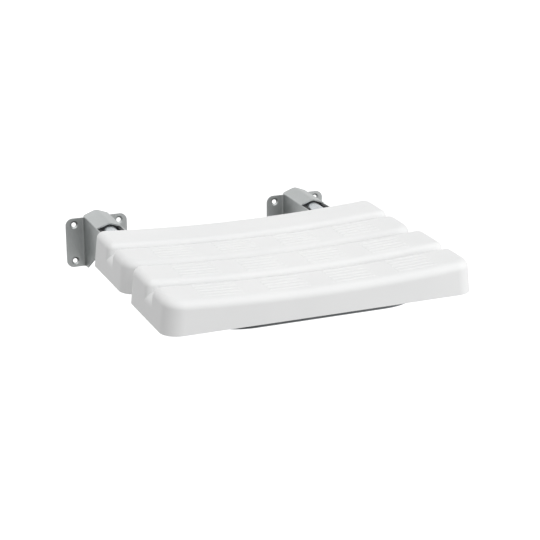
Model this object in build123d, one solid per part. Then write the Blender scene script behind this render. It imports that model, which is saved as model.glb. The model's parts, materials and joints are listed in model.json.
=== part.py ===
from build123d import *
import math
import os

# Wall-mounted folding shower seat: two wall brackets, a bent tube frame and two slatted panels.
# Millimetres. X runs along the wall, +Y goes into the wall and Z is up.
# The origin lies on the wall plane, in the middle of the wall screw holes.

# Wall brackets, pressed from sheet
seat_width = 444.0
seat_overhang = 54.5
sheet = 2.0
flange_width = 98.0
flange_height = 78.0
flange_corner = 11.0
flange_bend = 3.0
screw_span_x = 72.0
screw_span_z = 58.0
screw_hole_d = 7.0
countersink_d = 12.5
countersink_land = 0.4
hood_width = 40.0
roof_angle = 20.5
roof_fall = 1.2
roof_setback = 32.0
ridge_bend = 11.0
eave_bend = 1.0
heel_length = 13.0
nose_round = 9.6

# Hinge
pivot_reach = 104.0
pivot_height = 29.7
bolt_d = 8.0
bolt_hole_gap = 0.1
bolt_head_d = 14.0
bolt_head_height = 4.4
bolt_head_round = 3.0
bolt_socket = 5.0
bolt_socket_depth = 2.4
nut_size = 13.0
nut_height = 6.5
nut_dome_d = 11.6
nut_collar = 3.0
nut_play = 0.05
nut_end_room = 1.0
washer_d = 16.0
washer_thick = 1.6
washer_hole_gap = 0.2
sleeve_d = 14.0
sleeve_bore = 10.0
sleeve_fit = 0.02
bush_play = 0.05
bush_length = 11.0
bush_flange_d = 18.0
bush_flange = 2.0
side_play = 0.3

# Tube frame
tube_d = 25.0
tube_wall = 2.0
bend_radius = 75.0
frame_slope = 1.45
tail_room = 45.0
crossbar_setback = 20.4
plug_cap = 3.0
plug_cap_round = 1.2
plug_stem = 14.0
plug_fit = 0.1

# Nylon liners between the hoods and the tube
liner_fit = 0.1
liner_gap = 0.3
liner_back = 36.0
liner_setback = 0.3
liner_skirt = 2.0
liner_leg_room = 2.0

# Seat panels
seat_offset = 166.5
seat_foot = 18.8
seat_rise = 42.4
dish_radius = 2730.0
side_draft = 6.2
face_draft = 1.0
slat_depth = 73.0
groove_width = 5.5
groove_depth = 15.0
panel_gap = 19.5
rear_corner = 13.0
front_corner = 24.0
rear_slat_round = 10.0
front_slat_round = 12.0
sill_round = 14.0
skin = 4.0
rib_thick = 3.0
rib_foot = 12.5
cross_rib_count = 3
notch_gap = 1.0
saddle_fit = 0.15

# Anti-slip ribs on the slat tops
tread_length = 60.0
tread_runout = 3.0
tread_margin = 37.0
tread_fields = 4
tread_pitch_y = 10.0
tread_rows = 5
tread_shift = 1.0
tread_height = 1.0
tread_root = 1.0
tread_radius = 3.0

# Saddle clips and their screws
clip_thick = 2.5
clip_width = 22.0
clip_corner = 4.0
ear_drop = 2.0
ear_reach = 29.0
boss_d = 11.0
boss_offset = 22.0
clip_screw_d = 4.2
clip_screw_length = 20.0
clip_hole_gap = 0.2
pilot_gap = 0.05
pilot_end_room = 2.0
screw_head_d = 8.5
screw_head_height = 3.0
screw_head_round = 1.4
screw_slot = 1.2
screw_slot_length = 5.1
screw_slot_depth = 1.2

# Derived places
arm_spacing = seat_width - 2 * seat_overhang
arm_x = arm_spacing / 2
roof_slope = math.radians(roof_angle)
roof_dip = math.radians(roof_fall)
roof_reach = pivot_reach - roof_setback
tail_length = pivot_reach - tail_room
cheek_top = pivot_height + nose_round
front_eave_z = cheek_top + sheet / math.cos(roof_slope) - sheet * math.tan(roof_slope)
eave_z = front_eave_z + roof_reach * math.tan(roof_dip)
cheek_inner = hood_width / 2 - sheet
tread_pitch_x = (seat_width - 2 * tread_margin) / tread_fields
cross_rib_pitch = arm_spacing / (cross_rib_count + 1)
flange_foot = -flange_height / 2
panel_depth = 2 * slat_depth + groove_width
panel_rears = {"rear": -seat_offset, "front": -seat_offset - panel_depth - panel_gap}
seat_front = panel_rears["front"] - panel_depth
crossbar_y = seat_front + crossbar_setback
slope = math.radians(frame_slope)
facing_room = Plane((0, 0, 0), x_dir=(1, 0, 0), z_dir=(0, -1, 0))
frame_plane = Plane(
    (0, -pivot_reach, pivot_height),
    x_dir=(1, 0, 0),
    z_dir=(0, -math.sin(slope), math.cos(slope)),
)


def arm_height(y):
    """Height of the tube's centre line at y, on the sloping plane of the frame."""
    return pivot_height + (y + pivot_reach) * math.tan(slope)


def rod_x(radius, x_from, x_to):
    """A round bar along X, on the hinge axis."""
    middle = Pos((x_from + x_to) / 2, -pivot_reach, pivot_height)
    return middle * Rot(0, 90, 0) * Cylinder(radius, abs(x_to - x_from))


def rod_y(radius, length):
    """A round bar along Y, centred on the origin."""
    return Rot(90, 0, 0) * Cylinder(radius, length)


# Wall bracket
def hood_section(inset):
    """The hood's cross-section at the wall: two cheeks under a low gable, inset from its outside."""
    half = hood_width / 2 - inset
    rise = math.tan(roof_slope)
    apex = eave_z + hood_width / 2 * rise - inset / math.cos(roof_slope)
    eave = apex - half * rise
    section = Polygon(
        (-half, flange_foot), (half, flange_foot), (half, eave), (0, apex), (-half, eave), align=None
    )
    eaves = section.vertices().sort_by(Axis.Y)[2:4]
    section = fillet(eaves, eave_bend + sheet - inset)
    ridge = section.vertices().sort_by(Axis.Y)[-1]
    return fillet(ridge, ridge_bend + sheet - inset)


def hood_bar(inset, y_back, y_front):
    """The hood's cross-section drawn out from y_back to y_front, with the roof falling to the front."""
    section = facing_room * Pos(0, y_back * math.tan(roof_dip), -y_back) * hood_section(inset)
    way = Vector(0, -math.cos(roof_dip), -math.sin(roof_dip))
    return extrude(section, (y_back - y_front) / math.cos(roof_dip), dir=way)


def cheek_outline():
    """Side view of the hood: a heel at the wall, a sloping lower edge, a round nose about the pivot, the roof."""
    heel = Vector(-heel_length, flange_foot)
    pivot = Vector(-pivot_reach, pivot_height)
    away = pivot - heel
    lean = math.atan2(away.Y, -away.X) - math.asin(nose_round / away.length)
    touch = Vector(pivot.X - nose_round * math.sin(lean), pivot.Y - nose_round * math.cos(lean))
    cheek = Polygon(
        (0, flange_foot),
        (heel.X, heel.Y),
        (touch.X, touch.Y),
        (pivot.X, cheek_top),
        (0, cheek_top),
        align=None,
    )
    nose = Pos(pivot.X, pivot.Y) * Circle(nose_round)
    roof = Pos(-roof_reach / 2, cheek_top + hood_width / 2) * Rectangle(roof_reach, hood_width)
    return cheek + nose + roof


def flange():
    """The wing of the bracket on the +X side, with its bend into the cheek and two countersunk screw holes."""
    width = flange_width / 2 - cheek_inner
    root = sheet + 2 * flange_bend
    plan = Pos(cheek_inner + width / 2, -sheet / 2) * Rectangle(width, sheet)
    plan += Pos(cheek_inner + sheet / 2, -root / 2) * Rectangle(sheet, root)
    inner_corner = plan.vertices().sort_by_distance((hood_width / 2, -sheet))[0]
    wing = extrude(fillet(inner_corner, flange_bend), flange_height / 2, both=True)
    plate = Pos(cheek_inner + width / 2, 0) * Rectangle(width, flange_height)
    plate = fillet(plate.vertices().group_by(Axis.X)[-1], flange_corner)
    wing &= extrude(facing_room * plate, root)
    sink_depth = sheet - countersink_land
    sink = Cone(countersink_d / 2, screw_hole_d / 2, sink_depth)
    for z in (-screw_span_z / 2, screw_span_z / 2):
        hole = Pos(screw_span_x / 2, 0, z)
        wing -= hole * rod_y(screw_hole_d / 2, 3 * sheet)
        wing -= hole * Pos(0, -sheet + sink_depth / 2, 0) * Rot(-90, 0, 0) * sink
    return wing


def bracket():
    """One wall bracket, on the arm at +X."""
    hood = hood_bar(0, 0, -roof_reach) - hood_bar(sheet, 0, -roof_reach)
    reach = pivot_reach + nose_round - roof_reach
    cheeks = Box(hood_width, reach, 2 * flange_height) - Box(2 * cheek_inner, reach, 2 * flange_height)
    hood += Pos(0, -roof_reach - reach / 2, 0) * cheeks
    hood &= extrude(Plane.YZ * cheek_outline(), hood_width, both=True)
    wing = flange()
    body = Pos(arm_x, 0, 0) * (hood + wing + mirror(wing, about=Plane.YZ))
    return body - rod_x(bolt_d / 2 + bolt_hole_gap, arm_x - hood_width, arm_x + hood_width)


# Tube frame
def tube(radius, tail):
    """A round bar along the U of the frame, with its ends the given length behind the hinge axis."""
    front = (crossbar_y + pivot_reach) / math.cos(slope)
    corners = [(-arm_x, tail), (-arm_x, front), (arm_x, front), (arm_x, tail)]
    path = frame_plane * FilletPolyline(*corners, radius=bend_radius)
    section = Plane(path @ 0, z_dir=path % 0) * Circle(radius)
    return sweep(section, path=path)


def seat_frame():
    """The bent tube, with a cross hole for the pivot sleeve through each arm."""
    body = tube(tube_d / 2, tail_length) - tube(tube_d / 2 - tube_wall, tail_length)
    for x in (-arm_x, arm_x):
        body -= rod_x(sleeve_d / 2 + sleeve_fit, x - tube_d, x + tube_d)
    return body


def end_plug():
    """The plug in the open tail of the tube on the +X side."""
    cap = Pos(0, 0, plug_cap / 2) * Cylinder(tube_d / 2, plug_cap)
    cap = fillet(cap.edges().sort_by(Axis.Z)[-1], plug_cap_round)
    stem = Pos(0, 0, -plug_stem / 2) * Cylinder(tube_d / 2 - tube_wall - plug_fit, plug_stem)
    return frame_plane * Pos(arm_x, tail_length, 0) * Rot(-90, 0, 0) * (cap + stem)


# Hinge pieces on the arm at +X, listed along the bolt
sleeve_half = cheek_inner - side_play - bush_flange
washer_x = arm_x - hood_width / 2
nut_x = washer_x - washer_thick
bolt_end_x = nut_x - nut_height - nut_collar
head_x = arm_x + hood_width / 2


def pivot_sleeve():
    """The sleeve across the tube."""
    body = rod_x(sleeve_d / 2, arm_x - sleeve_half, arm_x + sleeve_half)
    return body - rod_x(sleeve_bore / 2, arm_x - tube_d, arm_x + tube_d)


def bush(side):
    """A flanged bush in the sleeve, on its outer (+1) or inner (-1) end."""
    end = arm_x + side * sleeve_half
    body = rod_x(sleeve_bore / 2 - sleeve_fit, end, end - side * bush_length)
    body += rod_x(bush_flange_d / 2, end, end + side * bush_flange)
    return body - rod_x(bolt_d / 2 + bush_play, arm_x - tube_d, arm_x + tube_d)


def pivot_bolt():
    """The hinge bolt, with its low round head on the outside of the bracket."""
    head = Pos(0, 0, bolt_head_height / 2) * Cylinder(bolt_head_d / 2, bolt_head_height)
    head = fillet(head.edges().sort_by(Axis.Z)[-1], bolt_head_round)
    socket = Plane.XY.offset(bolt_head_height) * RegularPolygon(bolt_socket / 2, 6, major_radius=False)
    head -= extrude(socket, -bolt_socket_depth)
    head = Pos(head_x, -pivot_reach, pivot_height) * Rot(0, 90, 0) * head
    return head + rod_x(bolt_d / 2, bolt_end_x, head_x)


def pivot_washer():
    """The washer between the bracket and the domed nut."""
    body = rod_x(washer_d / 2, nut_x, washer_x)
    return body - rod_x(bolt_d / 2 + washer_hole_gap, nut_x - washer_thick, washer_x + washer_thick)


def pivot_nut():
    """The domed nut on the inside of the bracket."""
    body = extrude(RegularPolygon(nut_size / 2, 6, major_radius=False), nut_height)
    body += Pos(0, 0, nut_height + nut_collar / 2) * Cylinder(nut_dome_d / 2, nut_collar)
    body += Pos(0, 0, nut_height + nut_collar) * Sphere(nut_dome_d / 2)
    body &= Pos(0, 0, nut_size) * Box(2 * nut_size, 2 * nut_size, 2 * nut_size)
    body = Pos(nut_x, -pivot_reach, pivot_height) * Rot(0, -90, 0) * body
    return body - rod_x(bolt_d / 2 + nut_play, nut_x + nut_height, bolt_end_x - nut_end_room)


def liner():
    """The nylon insert that fills the hood above the tube, with a leg on each side of the tube."""
    floor = pivot_height - liner_skirt
    radius = tube_d / 2 + liner_gap
    body = hood_bar(sheet + liner_fit, -liner_back, -roof_reach + liner_setback)
    body &= Pos(0, 0, floor + flange_height / 2) * Box(2 * hood_width, 4 * roof_reach, flange_height)
    leg_reach = pivot_reach - bush_flange_d / 2 - liner_leg_room
    legs = hood_bar(sheet + liner_fit, -liner_back, -leg_reach)
    legs &= Pos(0, 0, (floor + cheek_top) / 2) * Box(2 * hood_width, 4 * pivot_reach, cheek_top - floor)
    body += legs - Box(2 * radius, 4 * pivot_reach, 2 * flange_height)
    channel = Circle(radius) + Pos(0, -flange_height / 2) * Rectangle(2 * radius, flange_height)
    across = Plane((arm_x, -pivot_reach, pivot_height), x_dir=(1, 0, 0), z_dir=-frame_plane.y_dir)
    return Pos(arm_x, 0, 0) * body - extrude(across * channel, pivot_reach, both=True)


# Seat panels
def slat_middles(rear):
    """The y of each slat's middle line, on the panel whose rear foot is at y = rear."""
    return [rear - slat_depth / 2, rear - 1.5 * slat_depth - groove_width]


def seat_top(rear):
    """The lowest place of a panel's top at its rear, turned to fall to the front as the arms do."""
    return Pos(0, rear, seat_foot + seat_rise) * Rot(frame_slope, 0, 0)


def dish(rear, drop):
    """The round bar above a panel whose underside is the panel's dished top, lowered by drop."""
    return seat_top(rear) * Pos(0, 0, dish_radius) * rod_y(dish_radius + drop, 4 * panel_depth)


def drafted_bar(y_from, y_to, inset):
    """A bar along Y as wide as the seat, with drafted ends, inset by a wall."""
    half = seat_width / 2 - inset
    height = 2 * seat_rise
    top_half = half - height * math.tan(math.radians(side_draft))
    section = Polygon((-half, 0), (half, 0), (top_half, height), (-top_half, height), align=None)
    start = Plane((0, y_from, seat_foot), x_dir=(1, 0, 0), z_dir=(0, -1, 0))
    return extrude(start * section, y_from - y_to)


def slat(rear, index, inset):
    """The first (0) or second (1) slat of a panel, from its foot to its dished top.

    Its outer side, away from the groove, is steeper than the others and has corners of their own radius.
    """
    corner = (rear_corner, front_corner)[index]
    edge_round = (rear_slat_round, front_slat_round)[index]
    drafts = (face_draft, side_draft) if index == 0 else (side_draft, face_draft)
    height = 2 * seat_rise
    rear_lean, front_lean = [height * math.tan(math.radians(draft)) for draft in drafts]
    middle = slat_middles(rear)[index]
    half = slat_depth / 2 - inset
    profile = Polygon(
        (middle - half, seat_foot),
        (middle + half, seat_foot),
        (middle + half - rear_lean, seat_foot + height),
        (middle - half + front_lean, seat_foot + height),
        align=None,
    )
    body = extrude(Plane.YZ * profile, seat_width, both=True)
    body &= drafted_bar(rear, rear - panel_depth, inset)
    uprights = ShapeList([edge for edge in body.edges() if edge.bounding_box().size.Z > seat_rise])
    body = fillet(uprights.group_by(Axis.Y)[index - 1], corner - inset) - dish(rear, inset)
    top = body.faces().sort_by(Axis.Z)[-1]
    uprights = ShapeList([edge for edge in body.edges() if edge.bounding_box().size.Z > seat_rise / 2])
    return fillet(top.edges() + uprights.group_by(Axis.Y)[-index], edge_round - inset)


def bridge(rear, inset):
    """The floor of the groove, from the middle of one slat to the middle of the next."""
    body = drafted_bar(*slat_middles(rear), inset) - dish(rear, groove_depth + inset)
    top = body.faces().sort_by(Axis.Z)[-1]
    sills = [edge for edge in top.edges() if edge.bounding_box().size.Y > groove_width]
    return fillet(sills, sill_round - inset)


def moulding(rear, inset):
    """The outside of a panel whose rear foot is at y = rear, or the same form inset by a wall."""
    return slat(rear, 0, inset) + slat(rear, 1, inset) + bridge(rear, inset)


def clip_y(rear):
    """The y of a panel's saddle clips."""
    return slat_middles(rear)[0]


def ear_top(rear):
    """The height at which a panel's bosses stand on the ears of its clips."""
    return arm_height(clip_y(rear)) - ear_drop


def screw_places(rear):
    """The places of a panel's clip screws, two for each arm, on the tops of the clip ears."""
    places = []
    for x in (-arm_x, arm_x):
        for side in (-1, 1):
            places.append(Pos(x + side * boss_offset, clip_y(rear), ear_top(rear)))
    return places


def stiffeners(rear):
    """Ribs and screw bosses, taller than the panel, that the hollow underside leaves standing."""
    height = 2 * seat_rise
    middle = seat_foot + rib_foot + height / 2
    bodies = []
    for y in slat_middles(rear):
        bodies.append(Pos(0, y, middle) * Box(2 * seat_width, rib_thick, height))
    for i in range(cross_rib_count):
        x = (i - (cross_rib_count - 1) / 2) * cross_rib_pitch
        bodies.append(Pos(x, rear - panel_depth / 2, middle) * Box(rib_thick, 2 * panel_depth, height))
    for place in screw_places(rear):
        bodies.append(place * Pos(0, 0, height / 2) * Cylinder(boss_d / 2, height))
    return bodies


def arm_notches(rear):
    """Openings for the two arms, up from the foot of the aprons that they pass through."""
    aprons = [rear - skin / 2]
    if rear - panel_depth > seat_front:
        aprons.append(rear - panel_depth + skin / 2)
    radius = tube_d / 2 + notch_gap
    length = 4 * skin
    notches = []
    for x in (-arm_x, arm_x):
        for y in aprons:
            place = Pos(x, y, arm_height(y))
            notches.append(place * rod_y(radius, length))
            notches.append(place * Pos(0, 0, -tube_d / 2) * Box(2 * radius, length, tube_d))
    return notches


def tread(rear, middle):
    """Fields of fine ribs on a panel's slat with its middle line at y = middle, set square to the dish."""
    deep = tread_height + tread_root
    top_half = tread_length / 2 - tread_runout
    root_half = top_half + tread_runout * deep / tread_height
    side = Polygon(
        (-root_half, tread_radius - deep),
        (root_half, tread_radius - deep),
        (top_half, tread_radius),
        (-top_half, tread_radius),
        align=None,
    )
    bar = Rot(0, 90, 0) * Cylinder(tread_radius, 2 * tread_length)
    bar &= extrude(Plane.XZ * side, tread_radius, both=True)
    bars = []
    for i in range(tread_fields):
        x = (i - (tread_fields - 1) / 2) * tread_pitch_x
        tilt = math.asin(x / dish_radius)
        depth = dish_radius + tread_radius - tread_height
        z = dish_radius - depth * math.cos(tilt)
        for row in range(tread_rows):
            y = middle - rear - tread_shift + (row - (tread_rows - 1) / 2) * tread_pitch_y
            place = seat_top(rear) * Pos(depth * math.sin(tilt), y, z)
            bars.append(place * Rot(0, -math.degrees(tilt), 0) * bar)
    return bars


def seat_panel(rear, tread_middles):
    """A hollow moulded panel with two slats, ribs beneath, saddles on the tube and treads on top."""
    hollow = moulding(rear, skin) - stiffeners(rear)
    body = moulding(rear, 0) - hollow
    body -= tube(tube_d / 2 + saddle_fit, tail_length)
    body -= arm_notches(rear)
    pilot_depth = clip_screw_length - clip_thick + pilot_end_room
    pilot = Pos(0, 0, pilot_depth / 2) * Cylinder(clip_screw_d / 2 + pilot_gap, pilot_depth)
    body -= [place * pilot for place in screw_places(rear)]
    for middle in tread_middles:
        body += tread(rear, middle)
    return body


# Saddle clips
def clip(rear):
    """The clip that holds a panel down on the arm at +X."""
    y = clip_y(rear)
    strap = Pos(arm_x, y, arm_height(y)) * rod_y(tube_d / 2 + saddle_fit + clip_thick, clip_width)
    strap &= Pos(arm_x, y, ear_top(rear) - tube_d) * Box(4 * tube_d, 2 * clip_width, 2 * tube_d)
    ears = Rectangle(2 * ear_reach, clip_width)
    ears = fillet(ears.vertices(), clip_corner)
    body = strap + Pos(arm_x, y, ear_top(rear)) * extrude(ears, -clip_thick)
    body -= tube(tube_d / 2 + saddle_fit, tail_length)
    hole = Cylinder(clip_screw_d / 2 + clip_hole_gap, 4 * clip_thick)
    return body - [place * hole for place in screw_places(rear)]


def clip_screws(rear):
    """A panel's four clip screws, as one group."""
    head = Pos(0, 0, -screw_head_height / 2) * Cylinder(screw_head_d / 2, screw_head_height)
    head = fillet(head.edges().sort_by(Axis.Z)[0], screw_head_round)
    for turn in (0, 90):
        slot = Box(screw_slot_length, screw_slot, 2 * screw_slot_depth)
        head -= Pos(0, 0, -screw_head_height) * Rot(0, 0, turn) * slot
    screw = head + Pos(0, 0, clip_screw_length / 2) * Cylinder(clip_screw_d / 2, clip_screw_length)
    return Compound([place * Pos(0, 0, -clip_thick) * screw for place in screw_places(rear)])


# Every node of the assembly
nodes = {"seat_frame": seat_frame()}
paired = {
    "bracket": bracket(),
    "liner": liner(),
    "pivot_bolt": pivot_bolt(),
    "pivot_nut": pivot_nut(),
    "pivot_washer": pivot_washer(),
    "pivot_sleeve": pivot_sleeve(),
    "outer_bush": bush(1),
    "inner_bush": bush(-1),
    "end_plug": end_plug(),
}
for name, shape in paired.items():
    nodes["right_" + name] = shape
    nodes["left_" + name] = mirror(shape, about=Plane.YZ)
for place, rear in panel_rears.items():
    treads = slat_middles(rear)[1:] if place == "rear" else slat_middles(rear)
    nodes[place + "_seat_panel"] = seat_panel(rear, treads)
    nodes[place + "_clip_screws"] = clip_screws(rear)
    nodes[place + "_right_clip"] = clip(rear)
    nodes[place + "_left_clip"] = mirror(clip(rear), about=Plane.YZ)

os.makedirs("parts", exist_ok=True)
for name, shape in nodes.items():
    export_step(shape, "parts/" + name + ".step")
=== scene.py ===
# %% [markdown]
# A folding shower seat for the wall.
# The imported solids carry every shape of the seat, so this lesson dresses them: it sets the camera and the
# light and gives each piece the finish of the real one. Meshes drawn here in place of the solids would have
# to be kept in step with the hinge by hand, so the solids stay where they are.

# %% Load the solids
import json
import math
import bpy
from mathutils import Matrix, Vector

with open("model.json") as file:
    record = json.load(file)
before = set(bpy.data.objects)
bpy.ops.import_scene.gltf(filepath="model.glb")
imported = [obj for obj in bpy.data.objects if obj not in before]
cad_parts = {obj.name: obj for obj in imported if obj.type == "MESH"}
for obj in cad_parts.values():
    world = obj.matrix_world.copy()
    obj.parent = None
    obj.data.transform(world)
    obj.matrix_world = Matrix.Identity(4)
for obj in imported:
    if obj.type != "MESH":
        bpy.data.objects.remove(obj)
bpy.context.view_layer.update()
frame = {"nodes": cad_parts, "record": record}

# %% [markdown]
# The camera stands well back, to the left of the seat and a little above it, with a long lens.
# Its place and lens were solved from the seat's own straight edges and screw holes, so no shift is needed.
# Its turn could be typed as three angles. Here a track rotation works them out from one line of sight, which
# is easier to read and to change.

# %% Camera
CAMERA_AT = (-0.75507, -2.09472, 0.67787)
LOOK_DOWN = math.radians(18.62)
LOOK_RIGHT = math.radians(22.78)
LENS_MM = 96.97
SENSOR_MM = 36.0
view_line = Vector((
    math.sin(LOOK_RIGHT) * math.cos(LOOK_DOWN),
    math.cos(LOOK_RIGHT) * math.cos(LOOK_DOWN),
    -math.sin(LOOK_DOWN),
))
camera = bpy.data.objects.new("camera", bpy.data.cameras.new("camera"))
camera.data.sensor_width = SENSOR_MM
camera.data.lens = LENS_MM
camera.location = CAMERA_AT
camera.rotation_euler = view_line.to_track_quat("-Z", "Y").to_euler()
bpy.context.scene.collection.objects.link(camera)
bpy.context.scene.camera = camera
print("camera at", CAMERA_AT, "looks along", [round(v, 3) for v in view_line])

# %% [markdown]
# Shader maths reads best as plain sums, so one small class wraps the output of a node.
# Adding or multiplying two of them adds a Math node, and the method node() makes any other kind of node:
# first its settings, then the values or links of its sockets.
# Nodes could also be made one by one and linked by hand, but then a sum of three terms takes ten lines.

# %% Sockets that can be added and multiplied
# A Mix node has sockets for numbers, vectors and colours, so its colour sockets are picked by their places.
MIX_FACTOR, MIX_FIRST, MIX_SECOND, MIX_RESULT = 0, 6, 7, 2


class Socket:
    """The output of a node, which can be added, subtracted and multiplied."""

    def __init__(self, tree, link=None):
        self.tree = tree
        self.link = link

    def feed(self, target, value):
        """Links a Socket to a node's input, or sets the input to a plain value."""
        if isinstance(value, Socket):
            self.tree.links.new(value.link, target)
        else:
            target.default_value = value

    def node(self, kind, settings=None, sockets=None, output=0):
        """Makes a node, with its settings first and then its inputs, and gives one of its outputs."""
        made = self.tree.nodes.new("ShaderNode" + kind)
        for name, value in (settings or {}).items():
            setattr(made, name, value)
        for name, value in (sockets or {}).items():
            self.feed(made.inputs[name], value)
        return Socket(self.tree, made.outputs[output])

    def maths(self, operation, first, second=0.0):
        return self.node("Math", {"operation": operation}, {0: first, 1: second})

    def __add__(self, other):
        return self.maths("ADD", self, other)

    def __sub__(self, other):
        return self.maths("SUBTRACT", self, other)

    def __rsub__(self, other):
        return self.maths("SUBTRACT", other, self)

    def __mul__(self, other):
        return self.maths("MULTIPLY", self, other)

    __radd__ = __add__
    __rmul__ = __mul__

    def between(self, low, high):
        """0 below low, 1 above high and a smooth step from one to the other."""
        step = {"interpolation_type": "SMOOTHSTEP"}
        return self.node("MapRange", step, {"Value": self, "From Min": low, "From Max": high})

    def tint(self, first, second):
        """A colour that goes from the first to the second with this value."""
        colours = {MIX_FACTOR: self, MIX_FIRST: (*first, 1), MIX_SECOND: (*second, 1)}
        return self.node("Mix", {"data_type": "RGBA"}, colours, MIX_RESULT)

    def stretched(self, scale):
        """This point with its three coordinates multiplied by scale."""
        return self.node("VectorMath", {"operation": "MULTIPLY"}, {0: self, 1: scale})

    def grain(self, size, detail=2.0):
        """Even noise over this point, with lumps of about that size in metres."""
        return self.node("TexNoise", {}, {"Vector": self, "Scale": 1 / size, "Detail": detail})


print("sockets are ready")

# %% [markdown]
# A finish is a material with one Principled shader. Every finish here draws its pattern from the point on the
# piece in the piece's own coordinates. A layout on a flat sheet would need seams, and these points need none:
# the pattern runs on round each edge.


# %% Finishes
class Finish:
    """A material with one Principled shader, and the point on the piece that its pattern is drawn from."""

    def __init__(self, name):
        self.material = bpy.data.materials.new(name)
        self.material.use_nodes = True
        self.tree = self.material.node_tree
        self.shader = self.tree.nodes["Principled BSDF"]
        self.place = Socket(self.tree).node("TexCoord", {}, {}, "Object")

    def set(self, **sockets):
        """Feeds inputs of the shader. Base_Color stands for the input Base Color."""
        for name, value in sockets.items():
            self.place.feed(self.shader.inputs[name.replace("_", " ")], value)

    def relief(self, height, depth):
        """Lets a height from 0 to 1 stand out of the surface by depth metres."""
        sockets = {"Height": height, "Distance": depth, "Strength": 1.0}
        self.set(Normal=self.place.node("Bump", {}, sockets))


print("finishes are ready")

# %% [markdown]
# White plastic and satin steel show their shape only by the light around them. Several lamps could give it,
# but each would leave its own outline in the steel, so the light is a white tent with five broad patches.
# The strongest is in front and above, a second one is behind, and the right is brighter than the left. That
# lays a light band along the front shoulder of each slat and leaves the left ends in a soft shade.
# Each patch is the square of the cosine to its middle, so it has no edge. The camera itself sees plain white,
# and the view transform is the plain one, so the plastic keeps its own tone.

# %% Light
bpy.context.scene.view_settings.view_transform = "Standard"
tent = bpy.data.worlds.new("tent")
tent.use_nodes = True
bpy.context.scene.world = tent
backdrop = tent.node_tree.nodes["Background"]
backdrop.inputs["Color"].default_value = (1, 1, 1, 1)
sky = Socket(tent.node_tree)
direction = sky.node("TexCoord", {}, {}, "Generated")


def patch(aim, strength):
    """A broad soft light from the direction aim."""
    unit = tuple(Vector(aim).normalized())
    facing = direction.node("VectorMath", {"operation": "DOT_PRODUCT"}, {0: direction, 1: unit}, "Value")
    facing = facing.maths("MAXIMUM", facing, 0.0)
    return facing * facing * strength


FRONT_ABOVE, BEHIND = (0, -1, 1), (0, 1, 0)
RIGHT, RIGHT_FRONT, LEFT_ABOVE = (1, 0, 0), (1, -1, 0), (-1, 0, 1)
glow = (
    patch(FRONT_ABOVE, 1.32)
    + patch(BEHIND, 1.23)
    + patch(RIGHT, 0.58)
    + patch(RIGHT_FRONT, 0.50)
    + patch(LEFT_ABOVE, 0.53)
)
seen = sky.node("LightPath", {}, {}, "Is Camera Ray")
sky.feed(backdrop.inputs["Strength"], seen + (1 - seen) * glow)
print("tent with", len(tent.node_tree.nodes), "nodes")

# %% [markdown]
# A tent lights a flat face evenly from end to end. The front of the real seat is lighter at its right end,
# so a small soft lamp stands close to that end. It is left out of reflections, which keeps its square shape
# out of the steel.

# %% Lamp at the right end
LAMP_AT = Vector((0.55, -0.75, 0.03))
LAMP_AIM = Vector((0.2, -0.49, 0.04))
LAMP_WATTS = 0.36
LAMP_SIZE = 0.3
lamp = bpy.data.objects.new("front_lamp", bpy.data.lights.new("front_lamp", "AREA"))
lamp.data.energy = LAMP_WATTS
lamp.data.size = LAMP_SIZE
lamp.location = LAMP_AT
lamp.rotation_euler = (LAMP_AIM - LAMP_AT).to_track_quat("-Z", "Y").to_euler()
lamp.visible_camera = False
lamp.visible_glossy = False
bpy.context.scene.collection.objects.link(lamp)
print("lamp at", [round(v, 3) for v in LAMP_AT])

# %% [markdown]
# The floor is a plain pale sheet half a metre below the seat, about as high as such a seat hangs. One
# square face is enough, because it is flat and wider than any view. It doesn't light the seat from below:
# the underside of the real one is in shade.

# %% Floor
FLOOR_Z = -0.5
FLOOR_REACH = 12.0
corners = [(x * FLOOR_REACH, y * FLOOR_REACH, FLOOR_Z) for x, y in ((-1, -1), (1, -1), (1, 1), (-1, 1))]
sheet = bpy.data.meshes.new("floor")
sheet.from_pydata(corners, [], [(0, 1, 2, 3)])
floor = bpy.data.objects.new("floor", sheet)
bpy.context.scene.collection.objects.link(floor)
pale = Finish("pale_floor")
pale.set(Base_Color=(0.9, 0.9, 0.9, 1), Roughness=0.9, Emission_Color=(1, 1, 1, 1), Emission_Strength=0.35)
floor.data.materials.append(pale.material)
floor.visible_diffuse = False
floor.visible_glossy = False
print("floor at", FLOOR_Z)

# %% [markdown]
# The two seat panels are moulded in white plastic with a fine satin skin.
# The skin has a grain of about half a millimetre that a mould's etched face leaves, and wide, faint clouds
# from the flow of the plastic. The middle, where people sit and slide, is a little smoother than the ends.
# Noise gives the grain and the clouds without a picture. The worn middle is an oval: the point is stretched
# until the oval is a circle, and the distance from the circle's middle says how worn the skin is.

# %% White seat plastic
ETCH_SIZE, ETCH_DEPTH = 0.0006, 0.00001
CLOUD_SIZE = 0.11
WORN_OVAL = (4.2, 4.6, 0.0)
WORN_MIDDLE = (0.0, -1.47, 0.0)
skin = Finish("seat_plastic")
etched = skin.place.grain(ETCH_SIZE)
clouds = skin.place.grain(CLOUD_SIZE, detail=3.0)
oval = skin.place.stretched(WORN_OVAL)
from_middle = oval.node("VectorMath", {"operation": "DISTANCE"}, {0: oval, 1: WORN_MIDDLE}, "Value")
worn = 1 - from_middle.between(0.35, 1.0)
skin.set(
    Base_Color=clouds.between(0.3, 0.7).tint((0.845, 0.85, 0.85), (0.875, 0.878, 0.876)),
    Roughness=0.42 + (clouds - 0.5) * 0.12 + (etched - 0.5) * 0.10 - worn * 0.07,
)
skin.relief(etched, ETCH_DEPTH)
print("made", skin.material.name)

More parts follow.
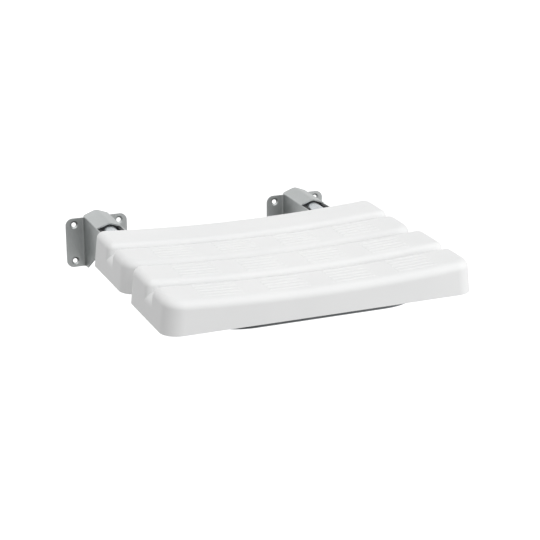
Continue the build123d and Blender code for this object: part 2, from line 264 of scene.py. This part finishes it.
# %% [markdown]
# The wall brackets are pressed from satin steel sheet.
# A belt has ground the sheet along its height, so the grain is long in z and very fine across it.
# The shader's own anisotropy could bend the gloss in the same way, but it draws no lines. Noise does, and it
# is stretched into lines by scaling the point before the noise is drawn. Wide smears break up the tone.

# %% Bracket steel
GROUND_ALONG = (1.0, 1.0, 0.05)
GROUND_LINE, GROUND_DEPTH = 0.0005, 0.000006
BRACKET_SMEAR = 0.03
bracket = Finish("bracket_sheet_steel")
ground = bracket.place.stretched(GROUND_ALONG).grain(GROUND_LINE)
smears = bracket.place.grain(BRACKET_SMEAR, detail=3.0)
streaks = (ground * 0.6 + smears * 0.4).between(0.3, 0.7)
bracket.set(
    Base_Color=streaks.tint((0.52, 0.54, 0.535), (0.62, 0.64, 0.64)),
    Metallic=1.0,
    Roughness=0.46 + (ground - 0.5) * 0.16 + (smears - 0.5) * 0.10,
)
bracket.relief(ground, GROUND_DEPTH)
print("made", bracket.material.name)

# %% [markdown]
# The frame is one bent tube, polished round and round, so its fine lines run across it.
# The arms lie along y and the crossbar along x. A pattern that follows the bends would need the tube's own
# path. Noise that changes fast along both axes gives short lines across each, and the bends hide the change.

# %% Tube steel
TURNED_ALONG = (0.25, 1.0, 0.08)
TURNED_LINE, TURNED_DEPTH = 0.0004, 0.000004
TUBE_SMEAR = 0.04
tube = Finish("frame_tube_steel")
turned = tube.place.stretched(TURNED_ALONG).grain(TURNED_LINE)
smears = tube.place.grain(TUBE_SMEAR, detail=3.0)
streaks = (turned * 0.5 + smears * 0.5).between(0.3, 0.7)
tube.set(
    Base_Color=streaks.tint((0.55, 0.585, 0.61), (0.67, 0.695, 0.715)),
    Metallic=1.0,
    Roughness=0.27 + (turned - 0.5) * 0.14 + (smears - 0.5) * 0.10,
)
tube.relief(turned, TURNED_DEPTH)
print("made", tube.material.name)

# %% [markdown]
# Bolts, nuts, washers and screws are plain bright steel, and the clips are bent from a duller strip.
# Each could have a material of its own, but the eye reads them as one kind of steel. So they share one
# recipe, with their own tone, roughness and size of grain, and with the stains that wet hands leave.

# %% Small steel parts
STAIN_SIZE = 0.012
SCRATCH_DEPTH = 0.000006


def small_steel(name, dark, light, roughness, grain_size):
    """A steel between two tones, with a fine grain and wide stains."""
    steel = Finish(name)
    fine = steel.place.grain(grain_size)
    stains = steel.place.grain(STAIN_SIZE, detail=3.0)
    steel.set(
        Base_Color=stains.between(0.35, 0.65).tint(dark, light),
        Metallic=1.0,
        Roughness=roughness + (fine - 0.5) * 0.12 + (stains - 0.5) * 0.12,
    )
    steel.relief(fine, SCRATCH_DEPTH)
    print("made", name)
    return steel


fastener = small_steel("bright_fastener_steel", (0.54, 0.545, 0.55), (0.64, 0.64, 0.64), 0.26, 0.0004)
clip = small_steel("clip_strip_steel", (0.48, 0.49, 0.50), (0.58, 0.585, 0.59), 0.36, 0.0007)

# %% [markdown]
# The tube plugs are moulded in black nylon, and the hinge bushes in natural nylon. The liners under the
# bracket roofs take the same near-black as painted shade: it fills the dark gap between each roof and the
# tube.
# A plain dark colour would look like a hole. Nylon is matt with a fine etched grain and a faint cloud, so one
# recipe with two tones makes both.

# %% Nylon
NYLON_GRAIN, NYLON_DEPTH = 0.0005, 0.00002
NYLON_CLOUD = 0.015


def nylon(name, dark, light, roughness):
    """A matt nylon between two tones, with an etched grain."""
    made = Finish(name)
    etched = made.place.grain(NYLON_GRAIN)
    clouds = made.place.grain(NYLON_CLOUD, detail=3.0)
    made.set(
        Base_Color=clouds.between(0.3, 0.7).tint(dark, light),
        Roughness=roughness + (etched - 0.5) * 0.14 + (clouds - 0.5) * 0.10,
    )
    made.relief(etched, NYLON_DEPTH)
    print("made", name)
    return made


# This near-black is real black nylon on the tube plugs and painted shade of the gap over the tube on the
# liners.
black_nylon_and_painted_gap_shade = nylon("matt_black_nylon_and_painted_gap_shade", (0.012, 0.012, 0.014), (0.022, 0.022, 0.024), 0.5)
natural = nylon("natural_nylon", (0.70, 0.68, 0.62), (0.77, 0.755, 0.70), 0.45)

# %% [markdown]
# The solids could be dressed one by one, by name, and one of them would be forgotten. Each solid knows its
# slot in the record, so a table from slot to finish dresses all of them.

# %% Dress the solids
finish_of = {
    "white_plastic": skin,
    "bracket_steel": bracket,
    "tube_steel": tube,
    "fastener_steel": fastener,
    "clip_steel": clip,
    # The black_nylon slot holds the tube plugs and the liners, whose near-black is painted gap shade.
    "black_nylon": black_nylon_and_painted_gap_shade,
    "bush_nylon": natural,
}
for piece in frame["record"]["subparts"]:
    solid = frame["nodes"][piece["node"]]
    for index in range(len(solid.data.materials)):
        solid.data.materials[index] = finish_of[piece["material_slot"]].material
